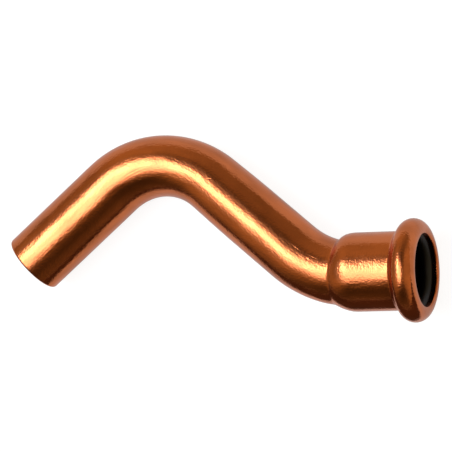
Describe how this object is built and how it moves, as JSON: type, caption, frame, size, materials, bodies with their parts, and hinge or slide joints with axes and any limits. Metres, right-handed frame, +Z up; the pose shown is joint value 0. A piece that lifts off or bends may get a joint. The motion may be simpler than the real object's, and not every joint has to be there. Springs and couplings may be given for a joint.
{
  "type": "press fit offset bend",
  "caption": "Bent copper pipe fitting: a plain tube end, a hump that clears a crossing pipe, a second bend and a press socket with a sealing ring in its rolled bead.",
  "frame": {"origin": "middle of the fitting's box, on the surface that the fitting lies on", "axes": "+X along the fitting's length, from the plain end towards the socket's mouth; +Y towards the top of the hump; +Z up from the surface the fitting lies on"},
  "size_m": [0.103, 0.0454, 0.0238],
  "materials": {
    "copper": "drawn copper tube, satin, with fine lengthwise marks and a light tarnish",
    "rubber": "smooth black rubber"
  },
  "bodies": {
    "root": {"fitting_body": "copper", "sealing_ring": "rubber"}
  },
  "joints": []
}
